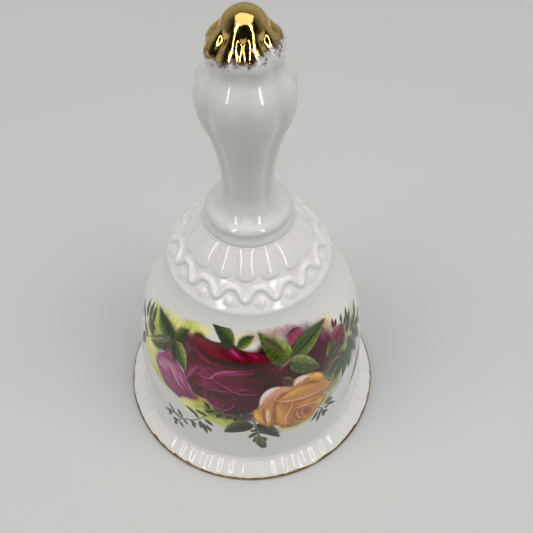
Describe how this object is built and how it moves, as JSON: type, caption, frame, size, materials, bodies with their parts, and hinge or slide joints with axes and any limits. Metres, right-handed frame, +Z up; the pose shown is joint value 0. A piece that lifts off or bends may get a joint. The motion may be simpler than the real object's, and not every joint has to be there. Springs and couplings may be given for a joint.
{
  "type": "porcelain hand bell",
  "caption": "White glazed china hand bell with a flared fluted rim, scalloped crown, lobed handle, gilded finial, rose transfers and a bead clapper hung on a wire link.",
  "frame": {"origin": "centre of the rim plane, on the surface that the bell stands on", "axes": "+Z up the bell's axis towards the finial, -Y towards the middle of the front rose spray, +X to the right seen from the front"},
  "size_m": [0.0762, 0.0762, 0.1341],
  "materials": {
    "china": "clear glossy glaze over white bone china",
    "enamel": "fired on-glaze enamel transfer with roses, buds and leaves",
    "rim_gold": "worn matt gold line",
    "bright_gold": "mirror bright fired gold, rubbed at its edge",
    "cement": "rough cast cement",
    "brass_wire": "drawn brass wire, dulled",
    "bead_china": "glossy glazed china"
  },
  "bodies": {
    "bell": {"bell_shell": "china", "handle": "china", "rose_transfer_front": "enamel", "rose_transfer_back": "enamel", "rim_gilding": "rim_gold", "finial_gilding": "bright_gold", "crown_plug": "cement", "crown_eye": "brass_wire"},
    "link": {"hanger_link": "brass_wire"},
    "clapper": {"clapper_wire": "brass_wire", "clapper_bead": "bead_china"}
  },
  "joints": [
    {"name": "link_turn", "type": "hinge", "parent": "bell", "child": "link", "pos_m": [0, 0, 0.061], "axis": [0, 0, 1], "range_deg": [-45, 45]},
    {"name": "clapper_swing", "type": "hinge", "parent": "link", "child": "clapper", "pos_m": [0, 0, 0.05535], "axis": [1, 0, 0], "range_deg": [-35, 35]}
  ]
}
